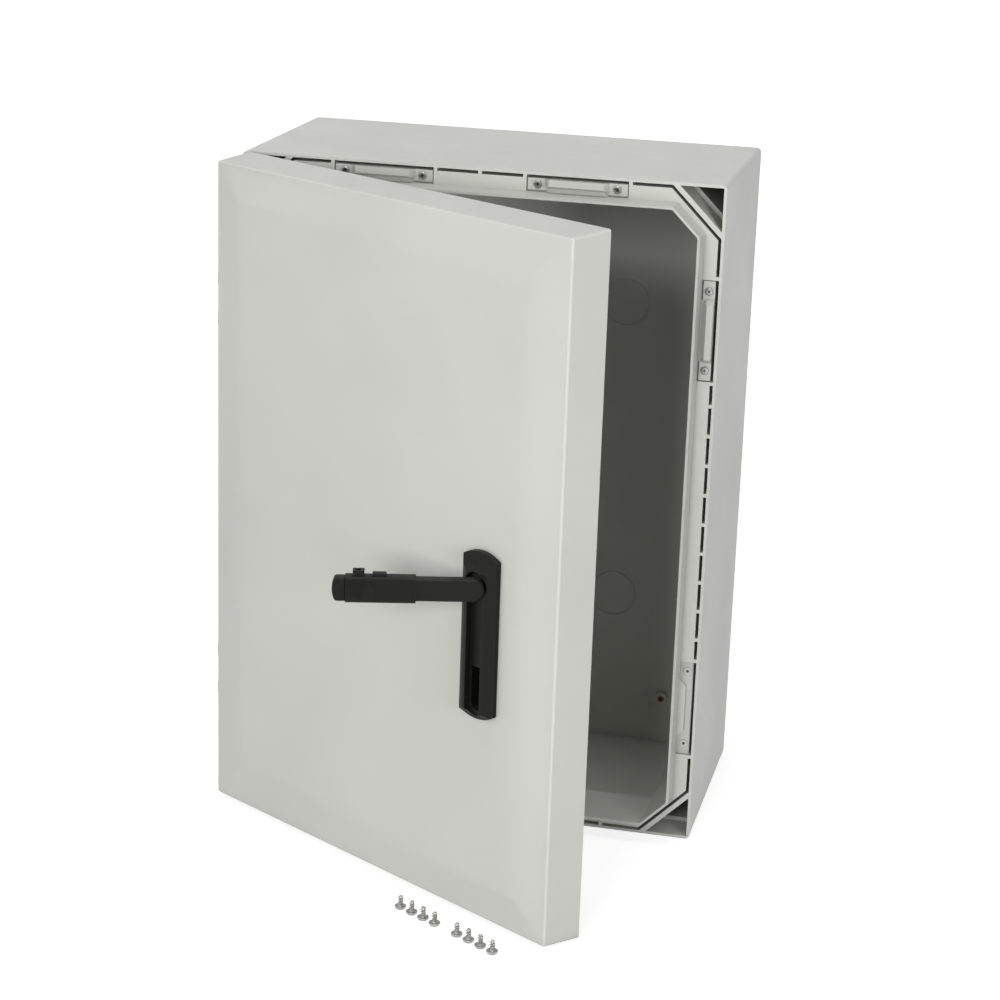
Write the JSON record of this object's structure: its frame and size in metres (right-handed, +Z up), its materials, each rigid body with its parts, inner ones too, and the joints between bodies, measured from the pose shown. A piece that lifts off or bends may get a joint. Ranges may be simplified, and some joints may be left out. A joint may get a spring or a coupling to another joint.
{
  "type": "polycarbonate enclosure",
  "caption": "Wall-mounted moulded polycarbonate cabinet with a side-hinged door, a swing handle that drives lock rods, a raised sealing collar and loose fixing screws.",
  "frame": {"origin": "centre of the box's flat rear face, which lies against the wall", "axes": "+X to the right seen from the front, +Y from the door to the wall, +Z up"},
  "size_m": [0.5126, 0.5685, 0.7],
  "materials": {
    "grey_shell": "fine moulded texture",
    "grey_liner": "fine moulded texture",
    "grey_fittings": "smooth moulded",
    "black_handle": "fine texture",
    "black_grip": "ribbed texture",
    "white_nylon": "smooth",
    "foam_gasket": "foamed in place, matt",
    "steel_fixings": "bright zinc plated",
    "zinc_plated_steel": "zinc plated sheet",
    "brass": "turned and knurled"
  },
  "bodies": {
    "box": {"enclosure_base": "grey_shell", "striker_top_left": "grey_fittings", "striker_top_right": "grey_fittings", "striker_bottom_left": "grey_fittings", "striker_bottom_right": "grey_fittings", "striker_right_upper": "grey_fittings", "striker_screws": "steel_fixings", "hinge_plate_upper": "grey_fittings", "hinge_plate_lower": "grey_fittings", "hinge_plate_screws": "steel_fixings", "pillar_inserts": "brass"},
    "door": {"door_shell": "grey_shell", "hinge_pin_upper": "steel_fixings", "hinge_pin_lower": "steel_fixings", "door_liner": "grey_liner", "door_gasket": "foam_gasket", "liner_screws": "steel_fixings", "rod_guide_upper_high": "white_nylon", "rod_guide_upper_low": "white_nylon", "rod_guide_lower_high": "white_nylon", "rod_guide_lower_low": "white_nylon", "rod_guide_side_arm": "white_nylon", "rod_guide_side_leg": "white_nylon", "rod_guide_screws": "steel_fixings", "spindle_bush": "white_nylon", "handle_escutcheon": "black_handle", "escutcheon_seal": "foam_gasket", "escutcheon_screws": "steel_fixings", "fixing_screws": "steel_fixings"},
    "spindle": {"handle_yoke": "black_handle", "cam_disc": "zinc_plated_steel", "cam_washer": "steel_fixings", "cam_screw": "steel_fixings"},
    "lever": {"handle_lever": "black_handle", "lever_pin": "steel_fixings", "grip_sleeve": "black_grip", "grip_end_cap": "black_grip", "thumb_slider": "black_grip"},
    "upper_bolt": {"upper_rod": "zinc_plated_steel", "upper_hook": "zinc_plated_steel"},
    "lower_bolt": {"lower_rod": "zinc_plated_steel", "lower_hook": "zinc_plated_steel"},
    "side_bolt": {"side_rod": "zinc_plated_steel", "side_hook": "zinc_plated_steel"}
  },
  "joints": [
    {"name": "door_hinge", "type": "hinge", "parent": "box", "child": "door", "pos_m": [-0.244, -0.2635, 0], "axis": [0, 0, -1], "range_deg": [-31.2, 103.8]},
    {"name": "handle_turn", "type": "hinge", "parent": "door", "child": "spindle", "pos_m": [0.07795, -0.50116, 0.0005], "axis": [-0.518, -0.8554, 0], "range_deg": [0, 90]},
    {"name": "handle_lift", "type": "hinge", "parent": "spindle", "child": "lever", "pos_m": [0.06863, -0.51655, 0.0005], "axis": [0, 0, 1], "range_deg": [-47, 13]},
    {"name": "upper_bolt_slide", "type": "slide", "parent": "door", "child": "upper_bolt", "axis": [0, 0, 1], "range_m": [0, 0.003]},
    {"name": "lower_bolt_slide", "type": "slide", "parent": "door", "child": "lower_bolt", "axis": [0, 0, -1], "range_m": [0, 0.003]},
    {"name": "side_bolt_slide", "type": "slide", "parent": "door", "child": "side_bolt", "axis": [0.8554, -0.518, 0], "range_m": [0, 0.003]}
  ],
  "couplings": [
    {"joint": "upper_bolt_slide", "follows": "handle_turn", "m_per_rad": 0.0019099},
    {"joint": "lower_bolt_slide", "follows": "handle_turn", "m_per_rad": 0.0019099},
    {"joint": "side_bolt_slide", "follows": "handle_turn", "m_per_rad": 0.0019099}
  ]
}
